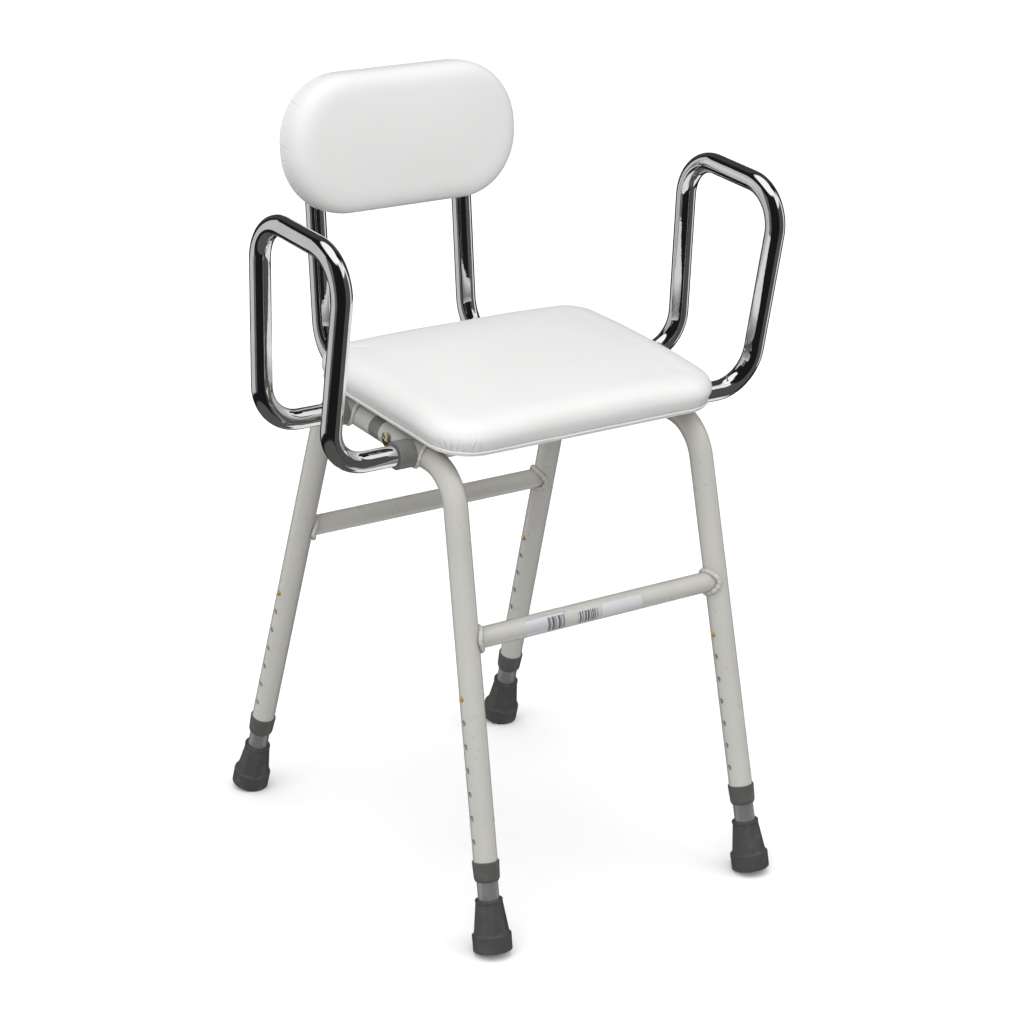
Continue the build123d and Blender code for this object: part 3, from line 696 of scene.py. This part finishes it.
def back_rows():
    """(inset, height) of each row: round the side, over the rear edge, then forwards to the board."""
    side = [(32.0, -2.6), (24.0, -3.0), (17.0, -4.0), (11.0, -6.0), (6.2, -9.2), (3.1, -13.6), (1.3, -19.0),
            (0.6, -26.0), (0.5, -33.0)]
    rear = [(0.4, 6.0), (0.3, 3.0), (0.9, 1.2), (2.2, 0.3), (4.6, 0.2), (5.3, 0.6)]
    rows = [(inset * MM, BACK_FRONT + height * MM) for inset, height in side]
    rows += [(inset * MM, BACK_REAR + height * MM) for inset, height in rear]
    rows += [(5.4 * MM, BACK_BOARD_FRONT - 1.0 * MM), (6.4 * MM, BACK_BOARD_FRONT)]
    return rows


def make_back():
    """Back cover: shell, foam pressure, outline, then pleats round both of its ends."""
    points, faces = pad_shell(back_loop(), BACK_STEPS, back_rows(), BACK_CROWN)
    pad = mesh_object("back_cushion", points, faces, VINYL)
    held = points[:, 2] < BACK_SEAM
    inflate(pad, held, BACK_RISE)
    co = read(pad)
    fit_outline(co, BACK_SEAM, back_low[[0, 2]], back_high[[0, 2]], BACK_SPARE)
    write(pad, co)
    subdivide(pad, 2)
    co, normals = read(pad), vertex_normals(pad)
    rng = np.random.default_rng(5)
    push = np.zeros(len(co))
    mid = (back_low[2] + back_high[2]) / 2
    for sx, first, last, depth in ((-1, 100, 262, 2.3 * MM), (1, -80, 80, 1.6 * MM)):
        centre = (sx * (back_high[0] - BACK_R), mid)
        folds = gathers(rng, first, last, 14, 24 * MM, depth)
        near = np.sign(co[:, 0] - centre[0]) == sx
        push += near * fold_push(co[:, :2], co[:, 2], BACK_SEAM, centre, BACK_R, folds)
    write(pad, back_world(co + normals * push[:, None]))
    return pad


back_pad = make_back()
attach(back_pad, "backrest")
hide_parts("back_pad")


# ------------------------------------------------------------------ welds
# the frame's driving dimensions: tube radii, and where the tubes' axes run
LEG_R, STRETCHER_R = 12.7 * MM, 11.1 * MM
SEAT_AXIS_Z = 0.5039                # the cross tubes lie in a sloping plane, at this height above the origin
CROSS_Y = {"front": -0.0724, "rear": 0.0534}
RAIL_X, RAIL_DROP = 0.159, 0.0045   # the side rails run a little below that plane
LEG_TOP_Y = {"front": -0.1267, "rear": 0.1066}
FOOT = {"front": (0.1742, -0.2410), "rear": (0.1776, 0.2409)}
FAR_X, FAR_Y = 0.25, 0.2            # a bar is followed inwards from here for a bead on its outer side

STRETCHER_WELD, RAIL_WELD, OUTER_WELD = 2.9 * MM, 2.8 * MM, 2.6 * MM
WELD_OFFSET = 0.55                  # the bead's centre stands this share of its radius off both tubes
WELD_RIPPLES = 15
WELD_STEPS, WELD_SIDES = 144, 12


def seat_z(y):
    """Height of the cross tubes' sloping plane."""
    return SEAT_AXIS_Z + y * math.tan(SEAT_TURN)


def weld_bead(name, bar_from, bar_way, bar_r, tube_at, tube_way, thick, seed):
    """Rippled bead where a round bar meets a tube of the frame, on the side that the bar comes from."""
    bar_way, tube_way = Vector(bar_way).normalized(), Vector(tube_way).normalized()
    side = bar_way.cross(Vector((0, 0, 1))).normalized()
    other = bar_way.cross(side).normalized()
    jitter = np.random.default_rng(seed).uniform(0.4, 1.6, WELD_RIPPLES)
    line, radii, outs = [], [], []
    for i in range(WELD_STEPS):
        a = 2 * math.pi * i / WELD_STEPS
        radial = side * math.cos(a) + other * math.sin(a)
        p = Vector(bar_from) + radial * bar_r
        # distance along the bar at which the point is LEG_R from the tube's axis
        to_point = p - Vector(tube_at)
        d = bar_way - tube_way * bar_way.dot(tube_way)
        e = to_point - tube_way * to_point.dot(tube_way)
        qa, qb, qc = d.dot(d), 2 * d.dot(e), e.dot(e) - LEG_R ** 2
        root = max(qb * qb - 4 * qa * qc, 0.0)
        p += bar_way * ((-qb - math.sqrt(root)) / (2 * qa))
        from_tube = p - Vector(tube_at)
        from_tube -= tube_way * from_tube.dot(tube_way)
        line.append(p + (radial + from_tube.normalized()) * WELD_OFFSET * thick)
        ripple, phase = divmod(i / WELD_STEPS * WELD_RIPPLES, 1.0)
        swell = jitter[int(ripple)] * math.sin(phase * math.pi) ** 0.7
        radii.append(thick * min(0.74 + 0.30 * swell, 1.04))
        outs.append(radial)
    points = []
    for i, p in enumerate(line):
        along = (line[(i + 1) % WELD_STEPS] - line[i - 1]).normalized()
        out = (outs[i] - along * outs[i].dot(along)).normalized()
        across_bead = out.cross(along)
        for k in range(WELD_SIDES):
            b = 2 * math.pi * k / WELD_SIDES
            points.append(p + (out * math.cos(b) + across_bead * math.sin(b)) * radii[i])
    bead = mesh_object(name, points, tube_faces(WELD_STEPS, WELD_SIDES), PAINT)
    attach(bead, "frame")


def weld_corner(end, side, seed):
    """Beads of one leg: its stretcher, and its cross tube inside and outside the side rail."""
    s = SIDES[side]
    sideways = (s, 0, 0)
    low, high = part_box(f"stretcher_{end}")
    stretcher = Vector((0.0, (low.y + high.y) / 2, (low.z + high.z) / 2))
    foot = Vector((s * FOOT[end][0], FOOT[end][1], 0.0))
    top_y = LEG_TOP_Y[end]
    top = Vector((s * RAIL_X, top_y, seat_z(top_y) - RAIL_DROP))
    weld_bead(f"weld_stretcher_{end}_{side}", stretcher, sideways, STRETCHER_R,
              foot, top - foot, STRETCHER_WELD, seed)
    y = CROSS_Y[end]
    rail = Vector((s * RAIL_X, y, seat_z(y) - RAIL_DROP))
    rail_way = Vector((0.0, math.cos(SEAT_TURN), math.sin(SEAT_TURN)))
    weld_bead(f"weld_cross_in_{end}_{side}", (0.0, y, seat_z(y)), sideways, LEG_R,
              rail, rail_way, RAIL_WELD, seed + 20)
    weld_bead(f"weld_cross_out_{end}_{side}", (s * FAR_X, y, seat_z(y)), (-s, 0, 0), LEG_R,
              rail, rail_way, OUTER_WELD, seed + 40)


def weld_socket(side, seed):
    """Bead of a backrest socket, on the rear of the rear cross tube."""
    low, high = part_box(f"backrest_socket_{side}")
    y = CROSS_Y["rear"]
    socket = Vector(((low.x + high.x) / 2, FAR_Y, seat_z(y)))
    cross_tube = (0.0, y, seat_z(y))
    weld_bead(f"weld_socket_{side}", socket, (0, -1, 0), LEG_R, cross_tube, (1, 0, 0), OUTER_WELD, seed)


def make_welds():
    """Beads of the whole frame, each with a seed of its own, so that no two are alike."""
    seed = 0
    for end in ENDS:
        for side in SIDES:
            seed += 1
            weld_corner(end, side, seed)
    for side in SIDES:
        seed += 1
        weld_socket(side, seed + 60)


make_welds()


# ------------------------------------------------------------------ blank labels on the front stretcher
LABEL_BACK, LABEL_FACE = 0.02 * MM, 0.14 * MM       # heights of a sticker's two faces above the tube


def label(name, x_from, x_to, low_angle, high_angle, material, lift=0.0):
    """Thin sticker wrapped on the front of the stretcher, between two angles above the horizontal."""
    box_low, box_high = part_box("stretcher_front")
    y, z = (box_low.y + box_high.y) / 2, (box_low.z + box_high.z) / 2
    across_steps, round_steps = 24, 16
    points, faces = [], []
    for layer in (LABEL_BACK, LABEL_FACE):
        r = STRETCHER_R + layer + lift
        for x in np.linspace(x_from, x_to, across_steps + 1):
            for a in np.radians(np.linspace(low_angle, high_angle, round_steps + 1)):
                points.append((x, y - r * math.cos(a), z + r * math.sin(a)))
    row = round_steps + 1
    shift = (across_steps + 1) * row
    for i in range(across_steps):
        for k in range(round_steps):
            a = i * row + k
            faces.append((shift + a, shift + a + row, shift + a + row + 1, shift + a + 1))
            faces.append((a, a + 1, a + row + 1, a + row))
    for i in range(across_steps):
        for k in (0, round_steps):
            a, b = i * row + k, (i + 1) * row + k
            faces.append((a, b, shift + b, shift + a) if k == 0 else (a, shift + a, shift + b, b))
    for k in range(round_steps):
        for i in (0, across_steps):
            a, b = i * row + k, i * row + k + 1
            faces.append((a, shift + a, shift + b, b) if i == 0 else (a, b, shift + b, shift + a))
    piece = mesh_object(name, points, faces, material)
    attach(piece, "frame")


# x from, x to, lower angle and upper angle, in metres and degrees
label("label_foil", -0.0975, -0.0455, -66, 62, FOIL)
label("label_foil_bars", -0.0690, -0.0480, -34, 44, BARS, 0.16 * MM)
label("label_small", -0.0300, -0.0045, -32, 34, BARS)
label("label_clear", 0.0020, 0.0560, -46, 52, PAPER)


# ------------------------------------------------------------------ camera
CAMERA_AT = Vector((-1.7792, -2.4243, 1.4795))
VIEW_AZIMUTH = -36.43               # degrees; the light panels are placed round this direction as well
AZIMUTH, ELEVATION, ROLL = math.radians(VIEW_AZIMUTH), math.radians(20.12), math.radians(1.78)
back = Vector((
    math.sin(AZIMUTH) * math.cos(ELEVATION), -math.cos(AZIMUTH) * math.cos(ELEVATION), math.sin(ELEVATION),
))
across = Vector((math.cos(AZIMUTH), math.sin(AZIMUTH), 0.0))
upwards = back.cross(across)
right = across * math.cos(ROLL) + upwards * math.sin(ROLL)
above = upwards * math.cos(ROLL) - across * math.sin(ROLL)
camera = bpy.data.objects.new("camera", bpy.data.cameras.new("camera"))
camera.data.sensor_width = 36.0
camera.data.lens = 103.71
camera.data.clip_end = 90.0
camera.matrix_world = Matrix((
    (right.x, above.x, back.x, CAMERA_AT.x),
    (right.y, above.y, back.y, CAMERA_AT.y),
    (right.z, above.z, back.z, CAMERA_AT.z),
    (0.0, 0.0, 0.0, 1.0),
))
bpy.context.scene.collection.objects.link(camera)
bpy.context.scene.camera = camera


# ------------------------------------------------------------------ studio
# each panel: azimuth from the view direction, elevation, half width, half height and soft edge in degrees,
# then its brightness
PANELS = [
    (0.0, 90.0, 180.0, 30.0, 3.0, 1.15),
    (-98.0, 3.0, 29.0, 30.0, 2.0, 0.60),
    (-57.0, 3.0, 12.0, 30.0, 2.5, 0.13),
    (113.0, 3.0, 9.0, 34.0, 1.5, 0.90),
    (76.0, 0.0, 28.0, 40.0, 3.0, 0.075),
    (180.0, 24.0, 40.0, 30.0, 4.0, 0.045),
    (80.0, 46.0, 26.0, 15.0, 2.0, 0.95),
    (118.0, -58.0, 42.0, 11.0, 2.0, 0.85),
    (0.0, -90.0, 180.0, 48.0, 3.0, 0.085),
]
SURROUND = 0.012                    # brightness of the room between the panels


def studio_world():
    """A dark room with soft panels overhead and at the sides, drawn from directions alone."""
    world = bpy.data.worlds.new("studio")
    world.use_nodes = True
    tree = world.node_tree
    background = tree.nodes["Background"]

    def maths(operation, a, b=None, c=None):
        made = tree.nodes.new("ShaderNodeMath")
        made.operation = operation
        for socket, value in zip(made.inputs, (a, b, c)):
            if value is None:
                continue
            if isinstance(value, (int, float)):
                socket.default_value = value
            else:
                tree.links.new(value, socket)
        return made.outputs[0]

    def inside(value, half, soft):
        """1 where the size of value is under half, falling to 0 over the soft edge."""
        made = tree.nodes.new("ShaderNodeMapRange")
        made.interpolation_type = "SMOOTHSTEP"
        made.inputs["From Min"].default_value = half + soft
        made.inputs["From Max"].default_value = half - soft
        tree.links.new(maths("ABSOLUTE", value), made.inputs["Value"])
        return made.outputs["Result"]

    direction = tree.nodes.new("ShaderNodeTexCoord").outputs["Generated"]
    parts = tree.nodes.new("ShaderNodeSeparateXYZ")
    tree.links.new(direction, parts.inputs[0])
    x, y, z = parts.outputs
    degrees = 180.0 / math.pi
    azimuth = maths("MULTIPLY", maths("ARCTAN2", x, maths("MULTIPLY", y, -1.0)), degrees)
    elevation = maths("MULTIPLY", maths("ARCSINE", z), degrees)
    total = SURROUND
    for turn, height, half_w, half_h, soft, brightness in PANELS:
        gap = maths("WRAP", maths("SUBTRACT", azimuth, VIEW_AZIMUTH + turn), 180.0, -180.0)
        mask = inside(maths("SUBTRACT", elevation, height), half_h, soft)
        if half_w < 180.0:
            mask = maths("MULTIPLY", mask, inside(gap, half_w, soft))
        total = maths("ADD", maths("MULTIPLY", mask, brightness), total)
    tree.links.new(total, background.inputs["Strength"])
    background.inputs["Color"].default_value = (1.0, 1.0, 1.0, 1.0)
    bpy.context.scene.world = world


def sun_light(name, towards, strength, spread):
    """Soft directional light that mirrors don't show."""
    data = bpy.data.lights.new(name, "SUN")
    data.energy = strength
    data.angle = math.radians(spread)
    made = bpy.data.objects.new(name, data)
    made.rotation_euler = Vector(towards).to_track_quat("-Z", "Y").to_euler()
    made.visible_glossy = False
    bpy.context.scene.collection.objects.link(made)


def floor_material():
    """Matt white floor."""
    g = Graph("floor")
    g.colour(g.blend(g.spread(g.noise(1.5, 3.0), 0.3, 0.7), grey(0.97), grey(0.955)))
    g.set(Roughness=0.9, Specular_IOR_Level=0.1)
    return g.mat


def wall_material():
    """Evenly lit paper behind the floor, white to the camera."""
    g = Graph("wall")
    g.colour(g.blend(g.spread(g.noise(1.5, 3.0), 0.3, 0.7), grey(0.02), grey(0.018)))
    g.set(Roughness=1.0, Specular_IOR_Level=0.0, Emission_Color=(1.0, 1.0, 1.0, 1.0), Emission_Strength=1.0)
    return g.mat


def backdrop(name, corners, faces, material):
    """Part of the stage that only the camera sees; suns and panels stand in for the light it would throw."""
    mesh = bpy.data.meshes.new(name)
    mesh.from_pydata(corners, [], faces)
    mesh.materials.append(material)
    made = bpy.data.objects.new(name, mesh)
    made.visible_glossy = False
    made.visible_diffuse = False
    made.visible_transmission = False
    made.visible_shadow = False
    bpy.context.scene.collection.objects.link(made)
    return made


def stage():
    """Square floor with a tall round wall just inside its edge, and the lights."""
    half, radius, tall, sides = 40.0, 39.2, 40.0, 48
    square = [(-half, -half, 0), (half, -half, 0), (half, half, 0), (-half, half, 0)]
    backdrop("floor", square, [(0, 1, 2, 3)], floor_material()).location.z = -0.5 * MM
    ring = [(radius * math.cos(a), radius * math.sin(a)) for a in np.arange(sides) * 2 * math.pi / sides]
    corners = [(x, y, z) for z in (0.0, tall) for x, y in ring]
    panels = [(i, (i + 1) % sides, sides + (i + 1) % sides, sides + i) for i in range(sides)]
    backdrop("wall", corners, panels, wall_material())
    studio_world()
    sun_light("key", (0.85, 0.62, -0.55), 1.55, 75.0)
    sun_light("fill", (0.42, 0.88, -0.10), 1.06, 170.0)
    sun_light("dome", (0.0, 0.0, -1.0), 1.5, 170.0)
    sun_light("bounce", (0.0, 0.25, 1.0), 0.32, 150.0)
    bpy.context.scene.view_settings.view_transform = "Standard"
    bpy.context.scene.view_settings.look = "None"


stage()
